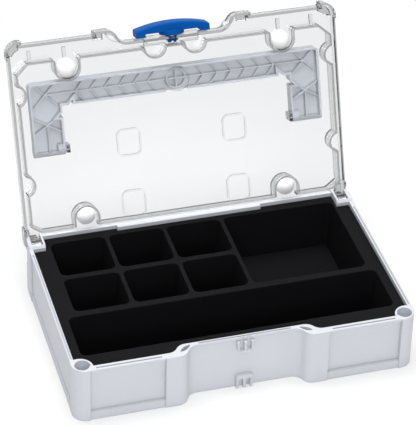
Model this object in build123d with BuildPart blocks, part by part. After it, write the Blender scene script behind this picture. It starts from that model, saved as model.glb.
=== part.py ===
from build123d import *
import os
from math import atan2, cos, degrees, radians, sin, sqrt

os.makedirs("parts", exist_ok=True)

# A small stackable tool case with a clear lid, sizes in millimetres.
# X runs to the right, Y to the rear and Z up. The origin is the middle of the base's underside.
# Pieces of the lid are drawn closed and turned open about the hinge axis when they are written.

# Whole case
half_width = 133.0
half_depth = 86.0
corner_radius = 11.0
corner_share = 0.95
post_width = 12.5
post_inner = half_width - post_width
post_length = 14.0
rear_post_length = 23.0
s_start = 37.0
s_run = 16.0
s_post_width = 10.2
s_post_side = s_start + s_run + s_post_width
overrun = 5.0
lid_angle = 110.6

# Hinge
hinge_inset = 9.5
hinge_y = half_depth - hinge_inset
hinge_drop = 4.5
barrel_radius = 9.7
hinge_pin_radius = 2.0
pin_grip = 0.02
pin_running = 0.05
running_gap = 0.3
lug_radius = 5.0
lug_half_width = 4.0

# Base
base_height = 47.5
hinge_z = base_height - hinge_drop
lid_rise = 16.5
case_height = base_height + lid_rise
floor_thickness = 2.0
plinth_height = 7.0
rim_thickness = 2.2
latch_recess = 11.0
rim_latch_recess = 10.2
panel_recess = 3.5
plinth_panel_recess = 0.8
rim_panel_recess = 0.5
side_recess = 1.3
plinth_side_recess = 0.4
rim_side_recess = 0.2
shelf_drop = 15.0
shelf_height = hinge_z - shelf_drop
rear_wall_inset = 7.7
rear_wall = half_depth - rear_wall_inset
rear_skin = 2.0
rear_hollow_back = half_depth - rear_skin
rear_hollow_inset = 17.0
rear_hollow_half = half_width - rear_hollow_inset
rear_hollow_top = shelf_height - rear_skin
rear_hollow_count = 10
rear_rib = 1.6
centre_wall = 2.4
cavity_centre = half_depth - latch_recess - centre_wall
front_wall = 5.8
cavity_front = half_depth - front_wall
side_wall = 3.2
cavity_side = half_width - side_wall
cavity_s_shift = 9.0
cavity_s_start = s_start + cavity_s_shift
cavity_s_run = 14.0
rear_low_wall = 1.9
cavity_rear_low = rear_wall - rear_low_wall
rear_high_wall = 3.7
cavity_rear_high = half_depth - rear_high_wall
cavity_step_drop = 5.0
cavity_step = hinge_z - cavity_step_drop
rear_lip_half = 59.0
rear_lip_width = 2.8
rear_lip_front = cavity_rear_high - rear_lip_width
post_lip_inset = 6.0
post_lip_x = half_width - post_lip_inset
post_lip_y = half_depth - post_lip_inset
post_lip_radius = 10.0
hollow_depth = 12.0
hollow_inset = 8.15
hollow_x = half_width - hollow_inset
hollow_back = 8.15
hollow_y = half_depth - hollow_back
hollow_radius = 5.6
hollow_tip_run = 6.6
hollow_tip_x = hollow_x - hollow_tip_run
hollow_tip_drop = 1.0
hollow_tip_width = 1.2
hollow_tip_y = hollow_y + hollow_tip_drop
leaf_shift = 9.8
leaf_x = s_start + leaf_shift
leaf_inset = 8.4
leaf_y = half_depth - leaf_inset
leaf_half_length = 5.4
leaf_half_width = 1.6
groove_width = 1.2
groove_depth = 1.0
groove_inset = 3.1
groove_panel_y = half_depth - groove_inset
groove_end_gap = 2.8
groove_panel_from = s_post_side + groove_end_gap
groove_panel_to = hollow_tip_x - groove_end_gap
groove_centre_y = (half_depth - rim_latch_recess + cavity_centre) / 2
groove_centre_half = s_start - groove_width
groove_side_x = half_width - (rim_side_recess + side_wall) / 2
groove_side_front = half_depth - post_length - groove_end_gap
groove_side_rear = half_depth - rear_post_length - groove_end_gap

# Hinge brackets of the base
bracket_width = 13.2
bracket_outer = half_width - rim_side_recess
bracket_inner = bracket_outer - bracket_width
bracket_reach = 9.0
bracket_front = hinge_y - bracket_reach
bracket_rise = 2.0
bracket_top = base_height + bracket_rise
cheek_thickness = 1.6
pocket_inner = bracket_inner + cheek_thickness
pocket_outer = cavity_side
bracket_wall = 2.0
pocket_front = bracket_front + bracket_wall
pocket_drop = 10.0
pocket_floor = hinge_z - pocket_drop
stop_start = 3.5
stop_end = 14.0
stop_shift = 1.1
stop_front = hinge_y + stop_shift
pin_end_gap = 0.3
pin_start = bracket_inner + pin_end_gap
pin_inset = 1.7
pin_end = half_width - pin_inset

# Latch and its catches
latch_rise = 7.0
latch_z = base_height + latch_rise
hub_radius = 9.9
latch_gap = 0.5
catch_half_width = 6.3
latch_inset = 7.2
latch_inner = half_depth - latch_inset
catch_gap = 0.6
catch_front = latch_inner - catch_gap
catch_radius = 21.5
catch_top = latch_z - hub_radius - latch_gap
catch_slot_inner = 1.1
catch_slot_outer = 4.6
catch_slot_depth = 3.0
catch_slot_margin = 3.0
catch_slot_low = latch_z - catch_radius + catch_slot_margin
catch_round = 4.2
catch_side = latch_z - catch_radius + catch_round
foot_slot_top = 8.5

# Compartment insert
insert_gap = 0.5
insert_sink = 3.0
insert_top = base_height - insert_sink
insert_flange = 1.5
insert_wall = 1.2
insert_lift = 0.4
well_floor = floor_thickness + insert_lift + insert_wall
well_draft = 3.0
well_corner = 5.0
mouth_round = 0.8
left_margin = 14.8
right_margin = 12.5
long_margin = 7.8
well_gap = 3.5
column_count = 3
column_width = 43.5
column_start = left_margin - cavity_side
column_edges = [
    (start, start + column_width)
    for start in [column_start + number * (column_width + well_gap) for number in range(column_count)]
]
large_edges = (column_edges[-1][1] + well_gap, cavity_side - right_margin)
long_edges = (long_margin - cavity_side, cavity_side - long_margin)
rear_margin = 11.0
rear_length = 42.0
row_gap = 5.0
front_length = 40.0
long_gap = 6.0
front_margin = 22.0
rear_row = (half_depth - rear_margin - rear_length, half_depth - rear_margin)
front_row = (rear_row[0] - row_gap - front_length, rear_row[0] - row_gap)
long_row = (front_margin - half_depth, front_row[0] - long_gap)

# Lid
lid_bottom = base_height + running_gap
lid_wall = 9.7
lid_wall_top = lid_bottom + lid_wall
shelf_thickness = 1.8
shelf_bottom = lid_wall_top - shelf_thickness
plate_lift = 0.4
plate_bottom = lid_bottom + plate_lift
plate_thickness = 1.8
plate_top = plate_bottom + plate_thickness
lid_skirt = 2.2
tower_round = 1.0
wall_round = 2.0
lid_panel_recess = 3.0
lid_side_recess = 0.8
lid_latch_recess = 11.0
lid_recesses = (lid_latch_recess, lid_panel_recess, lid_side_recess)
lid_centre = half_depth - lid_latch_recess
tower_inset = 0.6
tower_setback = 3.0
tower_depth = 5.5
tower_core_round = 8.0
tower_step = 1.0
leaf_wall = 0.8
leaf_cup_height = 4.0
leaf_cup_top = lid_wall_top + leaf_cup_height
s_tower_shift = 17.5
s_tower_start = s_start + s_tower_shift
bay_half = 22.0
bay_drop = 2.0
bay_top = case_height - bay_drop
lid_trim_radius = barrel_radius + latch_gap
lid_rear_start = bracket_front - latch_gap
lid_rear_bottom = bracket_top + latch_gap
lug_inner = pocket_inner + latch_gap
lug_outer = pocket_outer - latch_gap
lug_sink = 1.5
lug_top = case_height - lug_sink
ridge_width = 1.6
ridge_drop = 2.8
ridge_bottom = lid_bottom - ridge_drop
ridge_inset = 5.6
ridge_side = half_width - ridge_inset
ridge_front_inset = 17.0
ridge_front = half_depth - ridge_front_inset
bay_rear = ridge_front - ridge_width
ridge_rear_reach = 0.9
ridge_rear = bracket_front + ridge_rear_reach
trim_start = ridge_rear + latch_gap
ridge_chamfer = 9.6
ridge_corner_x = ridge_side - ridge_chamfer
front_chamfer = 8.6
ridge_front_corner = ridge_front - front_chamfer
rear_chamfer = 6.5
ridge_rear_corner = ridge_rear - rear_chamfer
dent_radius = 9.0
dent_shift = 7.7
dent_front = ridge_front - dent_shift
dent_rear_shift = 7.9
dent_rear = ridge_rear - dent_rear_shift
dent_round = 2.5
side_bump_radius = 7.5
side_bump_shift = 1.7
side_bump_x = ridge_side + side_bump_shift
side_bumps = (-43.7, 28.2)
front_bump_radius = 8.0
front_bump_x = 16.2
rib_width = 2.8
rib_height = 2.0
rib_bottom = shelf_bottom - rib_height
rib_inset = 9.6
rib_spacing = 27.5
square_x = 43.0
square_y = (4.5, 54.4)
square_width = 19.5
square_length = 22.0
square_corner = 5.0
square_line = 1.2
square_height = 1.0

# White plugs
plug_radius = 7.4
plug_length = 6.2
plug_bulge = 4.5
plug_stem = 3.0
plug_inset = 46.4
rear_plug_inset = 50.7
plug_end_inset = 25.9
rear_plug_end_inset = 26.7
front_plug = (half_width - plug_inset, plug_end_inset - half_depth)
rear_plug = (half_width - rear_plug_inset, half_depth - rear_plug_end_inset)

# Carry handle
handle_lift = 2.0
handle_bottom = plate_top + handle_lift
handle_inset = 15.4
handle_half_width = half_width - handle_inset
handle_front_inset = 36.0
handle_front = half_depth - handle_front_inset
bar_width = 19.3
handle_bar_rear = handle_front - bar_width
arm_width = 25.0
arm_inner = handle_half_width - arm_width
arm_length = 53.4
pivot_y = arm_length - handle_front
arm_end_radius = (case_height - handle_bottom) / 2
pivot_z = handle_bottom + arm_end_radius
handle_corner = 3.2
handle_round = 2.0
handle_wall = 1.8
handle_roof = 7.4
handle_middle = (handle_front + handle_bar_rear) / 2
handle_inside = handle_front - handle_middle - handle_wall
handle_ceiling = case_height - handle_roof
notch_run = 9.0
notch_step = 4.0
notch_inner = arm_inner - notch_run
notch_outer = arm_inner + notch_step
notch_front = handle_bar_rear + notch_step
notch_rear = handle_bar_rear - notch_run
rest_radius = 10.0
rest_wall = 1.2
rest_top = handle_bottom - running_gap
pivot_radius = 1.5
ear_gap = 0.3
ear_width = 2.6
ear_radius = 3.4
ear_root = 1.0
ear_outer = arm_inner - ear_gap
ear_inner = ear_outer - ear_width
pivot_wall = 6.0
pivot_inset = 0.3
pivot_start = ear_inner + pivot_inset
pivot_end = arm_inner + pivot_wall - pivot_inset
chevron_run = 6.0
chevron_start = 17.1
chevron_pitch = 11.6
chevron_count = 6
handle_rib = 1.0
rib_setback = 0.9
boss_radius = 8.0
boss_gap = 8.8
corner_rib_x = handle_half_width - arm_width / 2
corner_rib_length = 26.0
star_rib_y = 16.2
star_rib_length = 26.0
arm_hollow_reach = 2.0

# Latch
latch_half_length = 29.5
latch_half_width = 6.5
latch_outer = half_depth
latch_bow = 4.2
latch_end = latch_outer - latch_bow
latch_round = 1.6
foot_gap = 0.7
foot_start = catch_radius + foot_gap
foot_depth = 2.6
foot_inner = latch_inner - foot_depth
hub_depth = 2.6
hub_inner = latch_inner - hub_depth
boss_inner = lid_centre + running_gap
latch_boss_radius = 6.4
spindle_radius = 3.5
spindle_reach = 5.6
spindle_end = lid_centre - spindle_reach
prong_gap = 1.3
prong_length = 3.2
retainer_radius = 4.8
retainer_gap = 0.4
retainer_front = lid_centre - lid_skirt - retainer_gap
retainer_thickness = 1.6
retainer_rear = retainer_front - retainer_thickness


def case_outline(level, centre, panel, side, inset=0):
    """Plan of the case: corner posts, recessed panels and sides, and the S-curves to the latch bay."""
    front = inset - half_depth
    edge = half_width - inset
    rear = half_depth - inset
    radius = min(corner_radius - inset, corner_share * (half_width - post_inner - 2 * inset))
    lean = 2 * atan2(centre, s_run)
    middle = (s_start + s_run / 2 + inset * sin(lean), inset * cos(lean) - half_depth + centre / 2)
    post_end = post_length - half_depth - inset
    rear_post = half_depth - rear_post_length + inset
    with BuildSketch(Plane.XY.offset(level)) as outline:
        with BuildLine():
            Line((0, front + centre), (s_start, front + centre))
            curve = TangentArc((s_start, front + centre), middle, tangent=(1, 0))
            TangentArc(middle, (s_start + s_run, front), tangent=curve % 1)
            Polyline(
                (s_start + s_run, front),
                (s_post_side - inset, front),
                (s_post_side - inset, front + panel),
                (post_inner + inset, front + panel),
                (post_inner + inset, front),
                (edge - radius, front),
            )
            TangentArc((edge - radius, front), (edge, front + radius), tangent=(1, 0))
            Polyline(
                (edge, front + radius),
                (edge, post_end),
                (edge - side, post_end),
                (edge - side, rear_post),
                (edge, rear_post),
                (edge, rear - radius),
            )
            TangentArc((edge, rear - radius), (edge - radius, rear), tangent=(0, 1))
            Line((edge - radius, rear), (0, rear))
            mirror(about=Plane.YZ)
        make_face()
    return outline.sketch


def cavity_outline(level, rear, inset=0):
    """Plan of the base's hollow, with the front posts' lips standing into it."""
    centre = inset - cavity_centre
    front = inset - cavity_front
    edge = cavity_side - inset
    lean = 2 * atan2(centre - front, cavity_s_run)
    middle = (
        cavity_s_start + cavity_s_run / 2 + inset * sin(lean),
        inset * cos(lean) - (cavity_centre + cavity_front) / 2,
    )
    with BuildSketch(Plane.XY.offset(level)) as outline:
        with BuildLine():
            Line((0, centre), (cavity_s_start, centre))
            curve = TangentArc((cavity_s_start, centre), middle, tangent=(1, 0))
            TangentArc(middle, (cavity_s_start + cavity_s_run, front), tangent=curve % 1)
            Polyline(
                (cavity_s_start + cavity_s_run, front),
                (edge, front),
                (edge, rear - inset),
                (0, rear - inset),
            )
            mirror(about=Plane.YZ)
        make_face()
        with Locations((post_lip_x, -post_lip_y), (-post_lip_x, -post_lip_y)):
            Circle(post_lip_radius + inset, mode=Mode.SUBTRACT)
    return outline.sketch


def leaf(level, side):
    """Leaf shape in an S-post: two arcs meeting in points, along the S-curve."""
    turn = atan2(latch_recess, s_run)
    along = (leaf_half_length * cos(turn), -leaf_half_length * sin(turn))
    across = (leaf_half_width * sin(turn), leaf_half_width * cos(turn))
    tip = (side * (leaf_x + along[0]), along[1] - leaf_y)
    tail = (side * (leaf_x - along[0]), -along[1] - leaf_y)
    upper = (side * (leaf_x + across[0]), across[1] - leaf_y)
    lower = (side * (leaf_x - across[0]), -across[1] - leaf_y)
    with BuildSketch(Plane.XY.offset(level)) as shape:
        with BuildLine():
            ThreePointArc(tail, upper, tip)
            ThreePointArc(tip, lower, tail)
        make_face()
    return shape.sketch


def block(x_range, y_range, z_range, mode=Mode.ADD):
    """Plain block between two values on each axis."""
    middle = [sum(span) / 2 for span in (x_range, y_range, z_range)]
    size = [abs(span[1] - span[0]) for span in (x_range, y_range, z_range)]
    with Locations(tuple(middle)):
        Box(*size, mode=mode)


def span_rectangle(x_range, y_range, mode=Mode.ADD):
    """Rectangle between two values on each axis."""
    with Locations((sum(x_range) / 2, sum(y_range) / 2)):
        Rectangle(abs(x_range[1] - x_range[0]), abs(y_range[1] - y_range[0]), mode=mode)


# Base tray: walls, rim and floor
with BuildPart() as base_tray:
    extrude(case_outline(0, latch_recess, plinth_panel_recess, plinth_side_recess), amount=plinth_height)
    extrude(
        case_outline(plinth_height, latch_recess, panel_recess, side_recess),
        amount=base_height - rim_thickness - plinth_height,
    )
    extrude(
        case_outline(base_height - rim_thickness, rim_latch_recess, rim_panel_recess, rim_side_recess),
        amount=rim_thickness,
    )
    extrude(
        cavity_outline(floor_thickness, cavity_rear_low),
        amount=cavity_step - floor_thickness,
        mode=Mode.SUBTRACT,
    )
    extrude(
        cavity_outline(cavity_step, cavity_rear_high),
        amount=base_height - cavity_step + overrun,
        mode=Mode.SUBTRACT,
    )
    block((-rear_lip_half, rear_lip_half), (rear_lip_front, half_depth), (cavity_step, base_height))
    # Column and ears of each hinge bracket
    for side in (1, -1):
        block(
            (side * bracket_inner, side * half_width),
            (bracket_front, rear_wall),
            (floor_thickness, base_height),
        )
        with BuildSketch(Plane.YZ.offset(side * bracket_inner)):
            with Locations((hinge_y, hinge_z)):
                Circle(barrel_radius)
            span_rectangle((bracket_front, half_depth + overrun), (hinge_z, bracket_top), Mode.INTERSECT)
        extrude(amount=side * (bracket_outer - bracket_inner))
    # Room behind the hinge axis for the lid's rear edge
    with BuildSketch(Plane.YZ):
        with BuildLine():
            Polyline(
                (rear_wall, shelf_height),
                (half_depth + overrun, shelf_height),
                (half_depth + overrun, bracket_top + overrun),
                (rear_wall, bracket_top + overrun),
                close=True,
            )
        make_face()
        with Locations((hinge_y, hinge_z)):
            Circle(barrel_radius, mode=Mode.SUBTRACT)
    extrude(amount=half_width + overrun, both=True, mode=Mode.SUBTRACT)
    # Rounded rear corners carried up through the brackets
    with BuildSketch(Plane.XY.offset(shelf_height)):
        Rectangle(2 * (half_width + overrun), 2 * (half_depth + overrun))
        add(
            case_outline(0, rim_latch_recess, rim_panel_recess, rim_side_recess),
            mode=Mode.SUBTRACT,
        )
    extrude(amount=bracket_top - shelf_height + overrun, mode=Mode.SUBTRACT)
    # Ribbed hollow under the rear shelf, open below
    hollow_pitch = (2 * rear_hollow_half + rear_rib) / rear_hollow_count
    for number in range(rear_hollow_count):
        start = number * hollow_pitch - rear_hollow_half
        block(
            (start, start + hollow_pitch - rear_rib),
            (rear_wall, rear_hollow_back),
            (-overrun, rear_hollow_top),
            Mode.SUBTRACT,
        )
    # Hinge pockets, each with a sloped stop under the open lid's lug
    stop_turn = radians(lid_angle)
    stop_lift = lug_half_width + running_gap
    stop_line = [
        (
            hinge_y + reach * sin(stop_turn) + stop_lift * cos(stop_turn),
            hinge_z + reach * cos(stop_turn) - stop_lift * sin(stop_turn),
        )
        for reach in (stop_start, stop_end)
    ]
    for side in (1, -1):
        with BuildSketch(Plane.YZ.offset(side * pocket_inner)):
            with BuildLine():
                Polyline(
                    (pocket_front, pocket_floor),
                    (stop_front, pocket_floor),
                    *stop_line,
                    (half_depth + overrun, bracket_top + overrun),
                    (pocket_front, bracket_top + overrun),
                    close=True,
                )
            make_face()
        extrude(amount=side * (pocket_outer - pocket_inner), mode=Mode.SUBTRACT)
        with BuildSketch(Plane.YZ.offset(side * (bracket_inner - overrun))):
            with Locations((hinge_y, hinge_z)):
                Circle(hinge_pin_radius + pin_grip)
        extrude(amount=side * (pin_end + pin_end_gap - bracket_inner + overrun), mode=Mode.SUBTRACT)
        # Hollows in the tops of the front posts and the S-posts
        with BuildSketch(Plane.XY.offset(base_height)):
            with Locations((side * hollow_x, -hollow_y)):
                Circle(hollow_radius)
            with BuildLine():
                Polyline(
                    (side * hollow_tip_x, -hollow_tip_y),
                    (side * hollow_x, hollow_radius - hollow_y),
                    (side * hollow_x, hollow_tip_width - hollow_radius - hollow_y),
                    close=True,
                )
            make_face()
        extrude(amount=-hollow_depth, mode=Mode.SUBTRACT)
        extrude(leaf(base_height, side), amount=-hollow_depth, mode=Mode.SUBTRACT)
        # Groove between the two lips of the rim
        block(
            (side * groove_panel_from, side * groove_panel_to),
            (-groove_panel_y - groove_width / 2, -groove_panel_y + groove_width / 2),
            (base_height - groove_depth, base_height + overrun),
            Mode.SUBTRACT,
        )
        block(
            (side * groove_side_x - groove_width / 2, side * groove_side_x + groove_width / 2),
            (-groove_side_front, groove_side_rear),
            (base_height - groove_depth, base_height + overrun),
            Mode.SUBTRACT,
        )
    block(
        (-groove_centre_half, groove_centre_half),
        (-groove_centre_y - groove_width / 2, -groove_centre_y + groove_width / 2),
        (base_height - groove_depth, base_height + overrun),
        Mode.SUBTRACT,
    )
    # Upper catch, hooked by this case's latch, and lower catch, hooked by the latch of a case below
    catch_wall = half_depth - latch_recess - centre_wall / 2
    foot_side = sqrt(catch_radius**2 - catch_half_width**2)
    with BuildSketch(Plane.XZ.offset(catch_wall)):
        with BuildLine():
            ThreePointArc(
                (-catch_half_width, catch_side),
                (0, latch_z - catch_radius),
                (catch_half_width, catch_side),
            )
            Polyline(
                (catch_half_width, catch_side),
                (catch_half_width, catch_top),
                (-catch_half_width, catch_top),
                (-catch_half_width, catch_side),
            )
        make_face()
        below_z = latch_z - case_height
        with BuildLine():
            ThreePointArc(
                (-catch_half_width, below_z + foot_side),
                (0, below_z + catch_radius),
                (catch_half_width, below_z + foot_side),
            )
            Polyline(
                (catch_half_width, below_z + foot_side),
                (catch_half_width, 0),
                (-catch_half_width, 0),
                (-catch_half_width, below_z + foot_side),
            )
        make_face()
    extrude(amount=catch_front - catch_wall)
    for side in (1, -1):
        for low, high in ((catch_slot_low, catch_top + overrun), (-overrun, foot_slot_top)):
            block(
                (side * catch_slot_inner, side * catch_slot_outer),
                (-catch_front - overrun, catch_slot_depth - catch_front),
                (low, high),
                Mode.SUBTRACT,
            )
base_tray.part.label = "base_tray"
export_step(base_tray.part, "parts/base_tray.step")

# Compartment insert: a flange with drafted wells hanging from it
well_depth = insert_top - well_floor
well_angle = degrees(atan2(well_draft, well_depth))
wells = [(edges, row) for edges in column_edges for row in (rear_row, front_row)]
wells += [(large_edges, (front_row[0], rear_row[1])), (long_edges, long_row)]


def well(edges, row, grow):
    """Rounded mouth of one compartment, grown by the wall for its outside."""
    with BuildSketch(Plane.XY.offset(insert_top)) as mouth:
        with Locations((sum(edges) / 2, sum(row) / 2)):
            RectangleRounded(
                edges[1] - edges[0] + 2 * grow,
                row[1] - row[0] + 2 * grow,
                well_corner + grow,
            )
    return mouth.sketch


with BuildPart() as compartment_insert:
    with BuildSketch(Plane.XY.offset(insert_top - insert_flange)):
        add(cavity_outline(0, cavity_rear_high, insert_gap))
        with Locations((0, rear_lip_front - insert_gap + overrun)):
            Rectangle(2 * (rear_lip_half + insert_gap), 2 * overrun, mode=Mode.SUBTRACT)
        notch = half_width - bracket_inner + insert_gap
        notch_length = half_depth - bracket_front + insert_gap
        for side in (1, -1):
            with Locations((side * (half_width - notch / 2), half_depth - notch_length / 2)):
                Rectangle(notch, notch_length, mode=Mode.SUBTRACT)
    extrude(amount=insert_flange)
    for edges, row in wells:
        extrude(well(edges, row, insert_wall), amount=-well_depth - insert_wall, taper=well_angle)
    for edges, row in wells:
        extrude(well(edges, row, 0), amount=-well_depth, taper=well_angle, mode=Mode.SUBTRACT)
    mouths = compartment_insert.faces().sort_by(Axis.Z)[-1].inner_wires()
    fillet([edge for mouth in mouths for edge in mouth.edges()], mouth_round)
compartment_insert.part.label = "compartment_insert"
export_step(compartment_insert.part, "parts/compartment_insert.step")


def write_open(piece, name):
    """Turn a piece of the lid about the hinge axis to the open pose and write it."""
    opened = piece.rotate(Axis((0, hinge_y, hinge_z), (-1, 0, 0)), lid_angle)
    opened.label = name
    export_step(opened, "parts/" + name + ".step")


def lid_towers():
    """Plan of the corner posts and S-posts that stand above the lid's walls, set back from the front."""
    outline = case_outline(0, *lid_recesses, tower_inset)
    with BuildSketch() as plan:
        for side in (1, -1):
            post_x = (side * (post_inner + tower_step), side * (half_width + overrun))
            span_rectangle(post_x, (-half_depth, post_length - half_depth - tower_step))
            rear_start = half_depth - rear_post_length + tower_setback + tower_step
            span_rectangle(post_x, (rear_start, half_depth + tower_setback))
            s_tower_x = (side * s_tower_start, side * (s_post_side - tower_step))
            span_rectangle(s_tower_x, (-half_depth, -lid_centre))
        add(outline, mode=Mode.INTERSECT)
        add(outline.moved(Location((0, tower_setback, 0))), mode=Mode.INTERSECT)
        core_length = 2 * (half_depth - tower_setback - tower_depth)
        RectangleRounded(2 * (half_width - tower_depth), core_length, tower_core_round, mode=Mode.SUBTRACT)
    return plan.sketch


def ridge_area(level, inset):
    """Plan of the sunk middle of the lid: chamfered corners, dents round the plugs and side bumps."""
    with BuildSketch(Plane.XY.offset(level)) as plan:
        with BuildLine():
            Polyline(
                (0, -ridge_front),
                (ridge_corner_x, -ridge_front),
                (ridge_side, -ridge_front_corner),
                (ridge_side, ridge_rear_corner),
                (ridge_corner_x, ridge_rear),
                (0, ridge_rear),
            )
            mirror(about=Plane.YZ)
        make_face()
        for side in (1, -1):
            with Locations((side * front_plug[0], -dent_front), (side * rear_plug[0], dent_rear)):
                Circle(dent_radius, mode=Mode.SUBTRACT)
            front_dent = (side * front_plug[0] - dent_radius, side * front_plug[0] + dent_radius)
            rear_dent = (side * rear_plug[0] - dent_radius, side * rear_plug[0] + dent_radius)
            span_rectangle(front_dent, (-half_depth, -dent_front), Mode.SUBTRACT)
            span_rectangle(rear_dent, (dent_rear, half_depth), Mode.SUBTRACT)
            with Locations(*[(side * side_bump_x, y) for y in side_bumps]):
                Circle(side_bump_radius, mode=Mode.SUBTRACT)
            with Locations((side * front_bump_x, -ridge_front)):
                Circle(front_bump_radius, mode=Mode.SUBTRACT)
        mouths = plan.vertices().filter_by_position(Axis.Y, -ridge_front, -ridge_front)
        fillet([corner for corner in mouths if abs(corner.X) < ridge_corner_x - dent_round], dent_round)
        if inset:
            offset(amount=-inset, kind=Kind.INTERSECTION, mode=Mode.REPLACE)
    return plan.sketch


# Lid shell: skirt and shelf, sunk plate inside a ridge, posts, hinge lugs and handle ears
with BuildPart() as lid_shell:
    extrude(case_outline(lid_bottom, *lid_recesses), amount=lid_wall_top - lid_bottom)
    wall_edges = lid_shell.edges().filter_by_position(Axis.Z, lid_wall_top, lid_wall_top)
    side_edge = half_width - lid_side_recess
    panel_edge = lid_panel_recess - half_depth
    fillet(
        wall_edges.filter_by_position(Axis.X, side_edge, side_edge)
        + wall_edges.filter_by_position(Axis.X, -side_edge, -side_edge)
        + wall_edges.filter_by_position(Axis.Y, panel_edge, panel_edge),
        wall_round,
    )
    with BuildSketch(Plane.XY.offset(lid_bottom + lid_skirt)):
        add(lid_towers())
    extrude(amount=case_height - lid_bottom - lid_skirt)
    tower_edges = lid_shell.edges().filter_by_position(Axis.Z, case_height, case_height)
    fillet(tower_edges, tower_round)
    block((-bay_half, bay_half), (-lid_centre, -bay_rear), (shelf_bottom, bay_top))
    extrude(
        case_outline(lid_bottom, *lid_recesses, lid_skirt),
        amount=shelf_bottom - lid_bottom,
        mode=Mode.SUBTRACT,
    )
    block(
        (lid_skirt - bay_half, bay_half - lid_skirt),
        (lid_skirt - lid_centre, -ridge_front),
        (lid_bottom, bay_top - lid_skirt),
        Mode.SUBTRACT,
    )
    # Sunk plate and the ridge round it
    extrude(ridge_area(plate_top, ridge_width), amount=case_height - plate_top, mode=Mode.SUBTRACT)
    extrude(ridge_area(plate_bottom, 0), amount=plate_thickness)
    with BuildSketch(Plane.XY.offset(ridge_bottom)):
        add(ridge_area(0, 0))
        add(ridge_area(0, ridge_width), mode=Mode.SUBTRACT)
    extrude(amount=lid_wall_top - ridge_bottom)
    # Leaf-shaped cups in the S-posts, open downwards like the leaves in the base
    with BuildSketch(Plane.XY.offset(shelf_bottom)):
        for side in (1, -1):
            add(leaf(0, side))
        offset(amount=leaf_wall, mode=Mode.REPLACE)
    extrude(amount=leaf_cup_top - shelf_bottom)
    for side in (1, -1):
        extrude(leaf(shelf_bottom, side), amount=leaf_cup_top - leaf_wall - shelf_bottom, mode=Mode.SUBTRACT)
    # Ribs under the shelf before each front plug
    rib_rear = front_plug[1] - plug_radius - running_gap
    for side in (1, -1):
        for x in (front_plug[0], front_plug[0] + rib_spacing):
            block(
                (side * (x - rib_width / 2), side * (x + rib_width / 2)),
                (rib_inset - half_depth, rib_rear),
                (rib_bottom, shelf_bottom),
            )
    # Room for the base's rear edge and brackets while the lid turns
    with BuildSketch(Plane.YZ):
        with Locations((hinge_y, hinge_z)):
            Circle(lid_trim_radius)
        span_rectangle((trim_start, half_depth + overrun), (hinge_z, lid_rear_bottom))
    extrude(amount=half_width + overrun, both=True, mode=Mode.SUBTRACT)
    for side in (1, -1):
        block(
            (side * (bracket_inner - latch_gap), side * (half_width + overrun)),
            (lid_rear_start, trim_start + overrun),
            (hinge_z, lid_rear_bottom),
            Mode.SUBTRACT,
        )
        with BuildSketch(Plane.YZ.offset(side * lug_inner)):
            with Locations((hinge_y, hinge_z)):
                Circle(lug_radius)
            span_rectangle((hinge_y - lug_half_width, hinge_y + lug_half_width), (hinge_z, lug_top))
            with Locations((hinge_y, hinge_z)):
                Circle(hinge_pin_radius + pin_running, mode=Mode.SUBTRACT)
        extrude(amount=side * (lug_outer - lug_inner))
        with BuildSketch(Plane.YZ.offset(side * ear_inner)):
            with Locations((pivot_y, pivot_z)):
                Circle(ear_radius)
            span_rectangle((pivot_y - ear_radius, pivot_y + ear_radius), (plate_top - ear_root, pivot_z))
            with Locations((pivot_y, pivot_z)):
                Circle(pivot_radius + pin_grip, mode=Mode.SUBTRACT)
        extrude(amount=side * (ear_outer - ear_inner))
    # Round rest under the folded handle
    with BuildSketch(Plane.XY.offset(plate_top)):
        with Locations((0, -handle_middle)):
            Circle(rest_radius)
            Circle(rest_radius - rest_wall, mode=Mode.SUBTRACT)
    extrude(amount=rest_top - plate_top)
    # Raised rounded squares under the plate
    with BuildSketch(Plane.XY.offset(plate_bottom)):
        with Locations(*[(side * square_x, y) for side in (1, -1) for y in square_y]):
            RectangleRounded(square_width, square_length, square_corner)
            RectangleRounded(
                square_width - 2 * square_line,
                square_length - 2 * square_line,
                square_corner - square_line,
                mode=Mode.SUBTRACT,
            )
    extrude(amount=-square_height)
    with BuildSketch(Plane.XY.offset(lid_bottom)):
        with Locations(*[(side * x, y) for side in (1, -1) for x, y in (front_plug, rear_plug)]):
            Circle(plug_stem + pin_grip)
    extrude(amount=lid_wall_top - lid_bottom + overrun, mode=Mode.SUBTRACT)
    with BuildSketch(Plane.XZ.offset(ridge_front)):
        with Locations((0, latch_z)):
            Circle(spindle_radius + pin_running)
    extrude(amount=half_depth - ridge_front, mode=Mode.SUBTRACT)
write_open(lid_shell.part, "lid_shell")

# White domed plugs, each with a stem in the shelf
plug_places = {
    "plug_front_left": (-front_plug[0], front_plug[1]),
    "plug_front_right": front_plug,
    "plug_rear_left": (-rear_plug[0], rear_plug[1]),
    "plug_rear_right": rear_plug,
}
for name, (x, y) in plug_places.items():
    with BuildPart() as plug:
        with BuildSketch(Plane((x, y, shelf_bottom), x_dir=(1, 0, 0), z_dir=(0, -1, 0))):
            with BuildLine():
                TangentArc((0, -plug_length - plug_bulge), (plug_radius, -plug_length), tangent=(1, 0))
                Polyline(
                    (plug_radius, -plug_length),
                    (plug_radius, 0),
                    (plug_stem, 0),
                    (plug_stem, shelf_thickness),
                    (0, shelf_thickness),
                    (0, -plug_length - plug_bulge),
                )
            make_face()
        revolve(axis=Axis((x, y, 0), (0, 0, 1)))
    write_open(plug.part, name)


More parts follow.
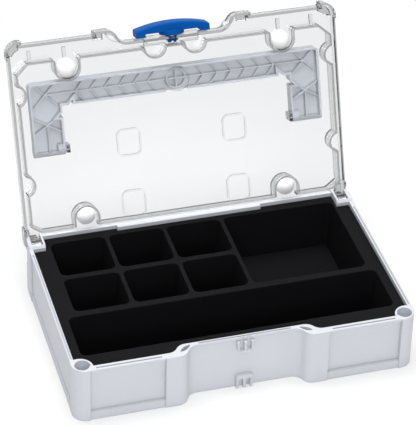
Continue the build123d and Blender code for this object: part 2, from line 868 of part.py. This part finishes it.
def handle_notches(margin):
    """Plan of the slanted notches in the handle's two inner corners, larger all round by the margin."""
    with BuildSketch() as plan:
        for side in (1, -1):
            with BuildLine():
                Polyline(
                    (side * notch_inner, -notch_front),
                    (side * notch_outer, -notch_rear),
                    (side * notch_inner, -notch_rear),
                    close=True,
                )
            make_face()
        if margin:
            offset(amount=margin, kind=Kind.INTERSECTION, mode=Mode.REPLACE)
    return plan.sketch


def handle_outline(level, inset, end):
    """Plan of the handle: a broad bar with two arms running back to the pivots."""
    front = inset - handle_front
    edge = handle_half_width - inset
    radius = handle_corner - inset
    with BuildSketch(Plane.XY.offset(level)) as outline:
        with BuildLine():
            Line((0, front), (edge - radius, front))
            TangentArc((edge - radius, front), (edge, front + radius), tangent=(1, 0))
            Polyline(
                (edge, front + radius),
                (edge, end),
                (arm_inner + inset, end),
                (arm_inner + inset, -handle_bar_rear - inset),
                (0, -handle_bar_rear - inset),
            )
            mirror(about=Plane.YZ)
        make_face()
        add(handle_notches(inset), mode=Mode.SUBTRACT)
    return outline.sketch


# Carry handle: a shell open towards the lid, stiffened by ribs
with BuildPart() as carry_handle:
    extrude(handle_outline(handle_bottom, 0, pivot_y), amount=case_height - handle_bottom)
    top_edges = carry_handle.edges().filter_by_position(Axis.Z, case_height, case_height)
    end_edges = top_edges.filter_by_position(Axis.Y, pivot_y, pivot_y)
    fillet([edge for edge in top_edges if edge not in end_edges], handle_round)
    for side in (1, -1):
        with BuildSketch(Plane.YZ.offset(side * arm_inner)):
            with Locations((pivot_y, pivot_z)):
                Circle(arm_end_radius)
        extrude(amount=side * arm_width)
    with BuildSketch(Plane.XY.offset(handle_bottom)):
        add(handle_outline(0, handle_wall, pivot_y + arm_hollow_reach))
        for side in (1, -1):
            pivot_x = (side * arm_inner, side * (arm_inner + pivot_wall))
            span_rectangle(pivot_x, (pivot_y - ear_radius, case_height), Mode.SUBTRACT)
    extrude(amount=handle_ceiling - handle_bottom, mode=Mode.SUBTRACT)
    with BuildSketch(Plane.XY.offset(handle_bottom + rib_setback)):
        for side in (1, -1):
            for number in range(chevron_count):
                foot = side * (chevron_start + number * chevron_pitch)
                point = foot + side * chevron_run
                width = side * handle_rib
                with BuildLine():
                    Polyline(
                        (foot, handle_inside - handle_middle),
                        (point, -handle_middle),
                        (foot, -handle_inside - handle_middle),
                        (foot - width, -handle_inside - handle_middle),
                        (point - width, -handle_middle),
                        (foot - width, handle_inside - handle_middle),
                        close=True,
                    )
                make_face()
            for turn in (45, -45):
                with Locations((side * corner_rib_x, -handle_middle)):
                    Rectangle(corner_rib_length, handle_rib, rotation=turn)
            for turn in (30, -30):
                with Locations((side * corner_rib_x, -star_rib_y)):
                    Rectangle(star_rib_length, handle_rib, rotation=turn)
            middle_rib = (side * corner_rib_x - handle_rib / 2, side * corner_rib_x + handle_rib / 2)
            span_rectangle(middle_rib, (-star_rib_y, pivot_y + arm_hollow_reach))
            bar_rib = (-handle_middle - handle_rib / 2, handle_rib / 2 - handle_middle)
            span_rectangle((side * boss_radius, side * corner_rib_x), bar_rib)
        with Locations((0, -handle_middle)):
            Circle(boss_radius)
            Circle(boss_radius - handle_rib, mode=Mode.SUBTRACT)
            Rectangle(2 * boss_radius, handle_rib)
            Rectangle(handle_rib, 2 * boss_radius)
    extrude(amount=handle_ceiling - handle_bottom - rib_setback)
    block(
        (-boss_gap, boss_gap),
        (-handle_bar_rear - handle_wall, overrun - handle_bar_rear),
        (handle_bottom - overrun, handle_ceiling),
        Mode.SUBTRACT,
    )
    # Hole for the pin at each arm's end
    for side in (1, -1):
        with BuildSketch(Plane.YZ.offset(side * arm_inner)):
            with Locations((pivot_y, pivot_z)):
                Circle(pivot_radius + pin_running)
        extrude(amount=side * pivot_wall, mode=Mode.SUBTRACT)
write_open(carry_handle.part, "carry_handle")

# Latch: a bowed bar with a foot at each end, turning on a spindle through the lid's wall
with BuildPart() as latch_bar:
    with BuildSketch(Plane.XY.offset(latch_z - latch_half_width)):
        with BuildLine():
            ThreePointArc(
                (-latch_half_length, -latch_end), (0, -latch_outer), (latch_half_length, -latch_end)
            )
            Polyline(
                (latch_half_length, -latch_end),
                (latch_half_length, -foot_inner),
                (foot_start, -foot_inner),
                (foot_start, -latch_inner),
                (-foot_start, -latch_inner),
                (-foot_start, -foot_inner),
                (-latch_half_length, -foot_inner),
                (-latch_half_length, -latch_end),
            )
        make_face()
    extrude(amount=2 * latch_half_width)
    bow = latch_bar.faces().sort_by(Axis.Y)[0]
    fillet(bow.edges(), latch_round)
    for radius, near, far in (
        (hub_radius, hub_inner, latch_inner + hub_inner - boss_inner),
        (latch_boss_radius, boss_inner, latch_inner),
        (spindle_radius, spindle_end, latch_inner),
    ):
        with BuildSketch(Plane.XZ.offset(near)):
            with Locations((0, latch_z)):
                Circle(radius)
            span_rectangle(
                (-hub_radius, hub_radius),
                (latch_z - hub_radius, latch_z + latch_half_width),
                Mode.INTERSECT,
            )
        extrude(amount=far - near)
    block(
        (-prong_gap, prong_gap),
        (-spindle_end - prong_length, overrun - spindle_end),
        (latch_z - spindle_radius, latch_z + spindle_radius),
        Mode.SUBTRACT,
    )
write_open(latch_bar.part, "latch_bar")

with BuildPart() as latch_retainer:
    with BuildSketch(Plane.XZ.offset(retainer_rear)):
        with Locations((0, latch_z)):
            Circle(retainer_radius)
            Circle(spindle_radius + pin_grip, mode=Mode.SUBTRACT)
    extrude(amount=retainer_front - retainer_rear)
write_open(latch_retainer.part, "latch_retainer")

# Pins of the hinges and of the handle
for name, side in (("left", -1), ("right", 1)):
    with BuildPart() as hinge_pin:
        with BuildSketch(Plane.YZ.offset(side * pin_start)):
            with Locations((hinge_y, hinge_z)):
                Circle(hinge_pin_radius)
        extrude(amount=side * (pin_end - pin_start))
    hinge_pin.part.label = "hinge_pin_" + name
    export_step(hinge_pin.part, "parts/hinge_pin_" + name + ".step")
    with BuildPart() as handle_pin:
        with BuildSketch(Plane.YZ.offset(side * pivot_start)):
            with Locations((pivot_y, pivot_z)):
                Circle(pivot_radius)
        extrude(amount=side * (pivot_end - pivot_start))
    write_open(handle_pin.part, "handle_pin_" + name)
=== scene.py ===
# %% [markdown]
# # A small stackable tool case, lid open
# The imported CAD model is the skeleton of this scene: it comes in first, stays where it is, and
# everything else is fitted around it in metres. The case stands on its base, the clear lid leans
# back on its hinge, and a carry handle shows through the lid from behind.

# %% Load the frame
from math import cos, radians, sin

import bpy
from mathutils import Matrix, Vector

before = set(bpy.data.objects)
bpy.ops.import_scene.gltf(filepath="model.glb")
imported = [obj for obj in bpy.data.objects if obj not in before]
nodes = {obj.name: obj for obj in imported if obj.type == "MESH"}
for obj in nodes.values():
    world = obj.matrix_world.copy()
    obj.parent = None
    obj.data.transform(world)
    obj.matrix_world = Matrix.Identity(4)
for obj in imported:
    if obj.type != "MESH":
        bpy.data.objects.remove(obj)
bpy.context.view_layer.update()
print("nodes", sorted(nodes))

# %% [markdown]
# ## Camera
# The photograph was taken from the left front with a long lens. Azimuth, elevation, roll and focal
# length were solved from the corners of the case, so the camera is set from those numbers instead
# of being nudged by eye. The lens in millimetres is the focal length in pixels times the sensor
# size over the longer side of the picture.

# %% Camera
AZIMUTH, ELEVATION, ROLL = radians(-16.69), radians(36.26), radians(1.48)
FOCAL_PX, LONG_SIDE_PX, SENSOR_MM = 2260.66, 425, 36.0
DISTANCE, AIM_RIGHT, AIM_UP, AIM_HEIGHT = 1.74804, -0.00672, 0.06281, 0.030
FAR_CLIP = 20.0

back = Vector((sin(AZIMUTH) * cos(ELEVATION), -cos(AZIMUTH) * cos(ELEVATION), sin(ELEVATION)))
right = Vector((cos(AZIMUTH), sin(AZIMUTH), 0.0))
up = back.cross(right)
rolled_right = right * cos(ROLL) + up * sin(ROLL)
rolled_up = up * cos(ROLL) - right * sin(ROLL)
aim = rolled_right * AIM_RIGHT + rolled_up * AIM_UP + Vector((0, 0, AIM_HEIGHT))
axes = zip(rolled_right, rolled_up, back)
stand = aim + back * DISTANCE

lens = bpy.data.cameras.new("camera")
lens.sensor_width = SENSOR_MM
lens.sensor_fit = "AUTO"
lens.lens = FOCAL_PX * SENSOR_MM / LONG_SIDE_PX
lens.clip_end = FAR_CLIP
camera = bpy.data.objects.new("camera", lens)
camera.matrix_world = Matrix([[*row, end] for row, end in zip(axes, stand)] + [[0, 0, 0, 1]])
bpy.context.scene.collection.objects.link(camera)
bpy.context.scene.camera = camera
print("lens", round(lens.lens, 1), "mm")

# %% [markdown]
# ## Shared finishes
# Every moulded plastic has a fine spark-eroded grain and a faint unevenness of tone, and its colour
# is darkened in its corners by an ambient-occlusion node, which is painted shade. Each material
# could have its own nodes for this, but one node group gives all three, and each plastic uses it
# with its own values. A group only puts out what changes over the surface; the shader itself stays
# in the material.

# %% Node helpers
def socket(group, name, way, kind, value=None):
    """Adds one named socket to a node group and gives it a default."""
    made = group.interface.new_socket(name=name, in_out=way, socket_type=kind)
    if value is not None:
        made.default_value = value


def place(tree, kind, inputs=None, **properties):
    """Adds a node, sets its properties, and then its inputs by name or number."""
    node = tree.nodes.new(kind)
    for key, value in properties.items():
        setattr(node, key, value)
    for key, value in (inputs or {}).items():
        node.inputs[key].default_value = value
    return node


def wire(tree, *wires):
    """Links nodes; each wire is a node, its output, the next node and its input."""
    for source, output, target, entry in wires:
        tree.links.new(source.outputs[output], target.inputs[entry])


print("helpers", [helper.__name__ for helper in (socket, place, wire)])

# %% Grain and painted shade group
SLOW_PER_METRE, SLOW_DETAIL = 38.0, 3.0
FINE_DETAIL, FINE_ROUGHNESS = 2.0, 0.6
PAINTED_SHADE_REACH, PAINTED_SHADE_SAMPLES = 0.0015, 6


def grain_and_painted_shade():
    """Tone = (1 + Unevenness * (slow - half)) * (1 - strength * (1 - openness)), the second factor
    painted shade in corners; Height = fine.
    """
    group = bpy.data.node_groups.new("grain_and_painted_shade", "ShaderNodeTree")
    socket(group, "Colour", "INPUT", "NodeSocketColor", (0.8, 0.8, 0.8, 1))
    for name, value in {
        "Grain per metre": 2600.0,
        "Unevenness": 0.06,
        "Painted shade": 0.3,
        "Rough": 0.5,
        "Spread": 0.12,
    }.items():
        socket(group, name, "INPUT", "NodeSocketFloat", value)
    socket(group, "Colour", "OUTPUT", "NodeSocketColor")
    socket(group, "Roughness", "OUTPUT", "NodeSocketFloat")
    socket(group, "Height", "OUTPUT", "NodeSocketFloat")

    def maths(operation, inputs=None):
        return place(group, "ShaderNodeMath", inputs, operation=operation)

    start, end = place(group, "NodeGroupInput"), place(group, "NodeGroupOutput")
    where = place(group, "ShaderNodeTexCoord")
    slow = place(group, "ShaderNodeTexNoise", {"Scale": SLOW_PER_METRE, "Detail": SLOW_DETAIL})
    fine = place(group, "ShaderNodeTexNoise", {"Detail": FINE_DETAIL, "Roughness": FINE_ROUGHNESS})
    # Painted shade: ambient occlusion darkens the colour in corners and next to ribs.
    openness = place(
        group, "ShaderNodeAmbientOcclusion", {"Distance": PAINTED_SHADE_REACH}, samples=PAINTED_SHADE_SAMPLES
    )
    low = maths("MULTIPLY_ADD", {1: -0.5, 2: 1.0})
    tone = maths("MULTIPLY_ADD")
    closed_part = maths("SUBTRACT", {0: 1.0})
    corner_shade_factor = maths("MULTIPLY_ADD")
    shade = maths("MULTIPLY")
    gloss = maths("MULTIPLY_ADD")
    tint = place(group, "ShaderNodeVectorMath", operation="SCALE")
    wire(
        group,
        (where, "Object", slow, "Vector"),
        (where, "Object", fine, "Vector"),
        (start, "Grain per metre", fine, "Scale"),
        (start, "Unevenness", low, 0),
        (slow, "Fac", tone, 0),
        (start, "Unevenness", tone, 1),
        (low, 0, tone, 2),
        (start, "Painted shade", closed_part, 1),
        (openness, "AO", corner_shade_factor, 0),
        (start, "Painted shade", corner_shade_factor, 1),
        (closed_part, 0, corner_shade_factor, 2),
        (tone, 0, shade, 0),
        (corner_shade_factor, 0, shade, 1),
        (start, "Colour", tint, 0),
        (shade, 0, tint, "Scale"),
        (tint, "Vector", end, "Colour"),
        (slow, "Fac", gloss, 0),
        (start, "Spread", gloss, 1),
        (start, "Rough", gloss, 2),
        (gloss, 0, end, "Roughness"),
        (fine, "Fac", end, "Height"),
    )
    return group


GRAIN_AND_SHADE = grain_and_painted_shade()
print("group", GRAIN_AND_SHADE.name, [item.name for item in GRAIN_AND_SHADE.interface.items_tree])

# %% [markdown]
# ## Opaque plastics
# Base, insert, handle, latch and plugs are moulded in plain colours. Their edges are rounded by
# less than a millimetre, which could be cut in the mesh, but the CAD meshes stay as they are. So a
# bevel normal rounds them in the shader, and they catch the light as moulded edges do.

# %% Plastic finish
BEVEL_SAMPLES = 6
FULL_BUMP = 1.0


def new_material(name):
    """A material with nodes; gives back it, its node tree and its shader."""
    material = bpy.data.materials.new(name)
    material.use_nodes = True
    return material, material.node_tree, material.node_tree.nodes["Principled BSDF"]


def plastic(name, colour, rough=0.5, bump=0.00002, painted_shade=0.3, specular=0.5, edge=0.0006):
    """The group drives colour, with grain and painted shade in corners, roughness and a shallow
    bump on bevelled edges.
    """
    material, tree, shader = new_material(name)
    skin = place(
        tree, "ShaderNodeGroup", {"Colour": (*colour, 1), "Painted shade": painted_shade, "Rough": rough},
        node_tree=GRAIN_AND_SHADE,
    )
    rounded = place(tree, "ShaderNodeBevel", {"Radius": edge}, samples=BEVEL_SAMPLES)
    relief = place(tree, "ShaderNodeBump", {"Distance": bump, "Strength": FULL_BUMP})
    wire(
        tree,
        (skin, "Colour", shader, "Base Color"),
        (skin, "Roughness", shader, "Roughness"),
        (skin, "Height", relief, "Height"),
        (rounded, "Normal", relief, "Normal"),
        (relief, "Normal", shader, "Normal"),
    )
    shader.inputs["Specular IOR Level"].default_value = specular
    return material


base_grey = plastic("base_grey", (0.585, 0.603, 0.647), rough=0.42, bump=0.00003)
insert_black = plastic(
    "insert_black", (0.0042, 0.004, 0.0048), rough=0.6, bump=0.00005, specular=0.07
)
plug_white = plastic("plug_white", (0.88, 0.88, 0.88), rough=0.3, painted_shade=0.1)
# The handle has a strong painted shade, which draws dark lines beside its ribs.
handle_grey = plastic("handle_grey", (0.465, 0.48, 0.515), rough=0.45, painted_shade=0.75, edge=0.0003)
latch_blue = plastic("latch_blue", (0.0, 0.073, 0.315), rough=0.4, specular=0.05)
pin_steel = plastic("pin_steel", (0.55, 0.55, 0.57), rough=0.25, edge=0.0003)
pin_steel.node_tree.nodes["Principled BSDF"].inputs["Metallic"].default_value = 1.0
print("finishes", [m.name for m in bpy.data.materials])


# %% Dress the opaque pieces
def dress(node_name, material):
    """Gives a CAD node one finish in place of its own."""
    mesh = nodes[node_name].data
    mesh.materials.clear()
    mesh.materials.append(material)


FINISH_BY_START = {
    "base_tray": base_grey,
    "compartment_insert": insert_black,
    "carry_handle": handle_grey,
    "latch_": latch_blue,
    "plug_": plug_white,
    "handle_pin_": handle_grey,
    "hinge_pin_": pin_steel,
}
for node_name in nodes:
    for start, material in FINISH_BY_START.items():
        if node_name.startswith(start):
            dress(node_name, material)
            print(node_name, "is", material.name)

# %% [markdown]
# ## The clear lid
# The lid is a clear moulding. Glass-like transmission bends what is behind it, and a light
# absorption darkens the long paths through its ridges and edges, which is why they read as grey
# lines. Shadow rays pass through it, so that the lid doesn't blacken what it covers.

# %% Clear lid finish
CLEAR_SKIN = {
    "Colour": (0.97, 0.98, 0.99, 1),
    "Unevenness": 0.02,
    "Painted shade": 0.0,
    "Rough": 0.02,
    "Spread": 0.04,
}
CLEAR_IOR = 1.45
SHADOW_TINT = (0.93, 0.94, 0.95, 1)
INSIDE = {"Color": (0.2, 0.2, 0.2, 1), "Density": 95.0}


def clear_plastic(name):
    """Transmission with a slight roughness, transparency for shadow rays, absorption inside."""
    material, tree, shader = new_material(name)
    output = tree.nodes["Material Output"]
    shader.inputs["IOR"].default_value = CLEAR_IOR
    shader.inputs["Transmission Weight"].default_value = 1.0
    skin = place(tree, "ShaderNodeGroup", CLEAR_SKIN, node_tree=GRAIN_AND_SHADE)
    ray = place(tree, "ShaderNodeLightPath")
    through = place(tree, "ShaderNodeBsdfTransparent", {"Color": SHADOW_TINT})
    mix = place(tree, "ShaderNodeMixShader")
    inside = place(tree, "ShaderNodeVolumeAbsorption", INSIDE)
    wire(
        tree,
        (skin, "Colour", shader, "Base Color"),
        (skin, "Roughness", shader, "Roughness"),
        (ray, "Is Shadow Ray", mix, "Fac"),
        (shader, "BSDF", mix, 1),
        (through, "BSDF", mix, 2),
        (mix, "Shader", output, "Surface"),
        (inside, "Volume", output, "Volume"),
    )
    return material


lid_clear = clear_plastic("lid_clear")
dress("lid_shell", lid_clear)
print("lid_shell is", lid_clear.name)

# %% [markdown]
# ## White sweep
# A photo studio's white sweep has no visible edge. A bright lamp could burn it out, but that would
# bleach the case too. So the sky shows the camera plain white, and so do reflections and views
# through the lid. Near the case the floor is part white glow and part white paper, so it carries
# the case's soft shadow, and further out it turns into plain white by its distance from the middle
# of the case.

# %% Floor
FLOOR_HALF = 4.0
FLOOR_CORNERS = ((-1, -1), (1, -1), (1, 1), (-1, 1))

floor_mesh = bpy.data.meshes.new("floor")
floor_mesh.from_pydata(
    [(FLOOR_HALF * x, FLOOR_HALF * y, 0.0) for x, y in FLOOR_CORNERS], [], [(0, 1, 2, 3)]
)
floor = bpy.data.objects.new("floor", floor_mesh)
bpy.context.scene.collection.objects.link(floor)
print("floor half side", FLOOR_HALF, "m")


# %% Plain white for what the camera sees
def seen_white(tree, white_kind, scattered, share=None):
    """Shows camera, glossy and transmission rays plain white, or a share of it where given."""
    ray = place(tree, "ShaderNodeLightPath")
    first = place(tree, "ShaderNodeMath", operation="MAXIMUM")
    seen = place(tree, "ShaderNodeMath", operation="MAXIMUM")
    wire(
        tree,
        (ray, "Is Camera Ray", first, 0),
        (ray, "Is Glossy Ray", first, 1),
        (first, 0, seen, 0),
        (ray, "Is Transmission Ray", seen, 1),
    )
    if share is not None:
        part = place(tree, "ShaderNodeMath", operation="MULTIPLY")
        wire(tree, (seen, 0, part, 0))
        tree.links.new(share, part.inputs[1])
        seen = part
    white = place(tree, white_kind, {"Color": (1, 1, 1, 1), "Strength": 1.0})
    mix = place(tree, "ShaderNodeMixShader")
    wire(tree, (seen, 0, mix, "Fac"), (white, 0, mix, 2))
    tree.links.new(scattered, mix.inputs[1])
    return mix.outputs["Shader"]


print("helper", seen_white.__name__)

# %% Floor finish
PAPER = {"Base Color": (0.8, 0.8, 0.8, 1), "Roughness": 0.9}
GLOW = {"From Min": 0.15, "From Max": 0.6, "To Min": 0.4, "To Max": 1.0}

paper, sweep_tree, sweep = new_material("white_sweep")
for name, value in PAPER.items():
    sweep.inputs[name].default_value = value
spot = place(sweep_tree, "ShaderNodeTexCoord")
away = place(sweep_tree, "ShaderNodeVectorMath", operation="LENGTH")
glow = place(sweep_tree, "ShaderNodeMapRange", GLOW, interpolation_type="SMOOTHSTEP")
wire(sweep_tree, (spot, "Object", away, 0), (away, "Value", glow, "Value"))
sweep_tree.links.new(
    seen_white(sweep_tree, "ShaderNodeEmission", sweep.outputs["BSDF"], glow.outputs["Result"]),
    sweep_tree.nodes["Material Output"].inputs["Surface"],
)
floor_mesh.materials.append(paper)
print("floor is", paper.name)

# %% Sky
SKY = {"Color": (1.0, 1.0, 1.0, 1), "Strength": 0.26}

world = bpy.data.worlds.new("studio")
world.use_nodes = True
sky_tree = world.node_tree
sky = sky_tree.nodes["Background"]
for name, value in SKY.items():
    sky.inputs[name].default_value = value
sky_tree.links.new(
    seen_white(sky_tree, "ShaderNodeBackground", sky.outputs["Background"]),
    sky_tree.nodes["World Output"].inputs["Surface"],
)
bpy.context.scene.world = world
print("world", world.name, "at", SKY["Strength"])

# %% [markdown]
# ## Lamps
# The photograph has the even light of large soft boxes. One stands in front and a little to the
# left, a larger one hangs above, and a weak one fills in the right side. Small lamps would be
# quicker to set, but they would draw hard shadows into the compartments.

# %% Lamps
LAMP_TARGET = Vector((0, 0, 0.05))
LAMPS = {
    "key": ((-0.35, -1.75, 1.2), 0.9, 19.0),
    "top": ((-0.1, 0.2, 1.9), 1.4, 38.0),
    "fill": ((1.6, -1.0, 0.9), 1.2, 1.5),
}


def soft_box(name, spot, size, watts):
    """A square area lamp that faces the case."""
    lamp = bpy.data.lights.new(name, "AREA")
    lamp.shape = "SQUARE"
    lamp.size = size
    lamp.energy = watts
    rig = bpy.data.objects.new(name, lamp)
    turn = (LAMP_TARGET - Vector(spot)).to_track_quat("-Z", "Y").to_matrix().to_4x4()
    rig.matrix_world = Matrix.Translation(spot) @ turn
    bpy.context.scene.collection.objects.link(rig)


for name, (spot, size, watts) in LAMPS.items():
    soft_box(name, spot, size, watts)
    print("lamp", name, watts, "W")
bpy.context.scene.view_settings.view_transform = "Standard"
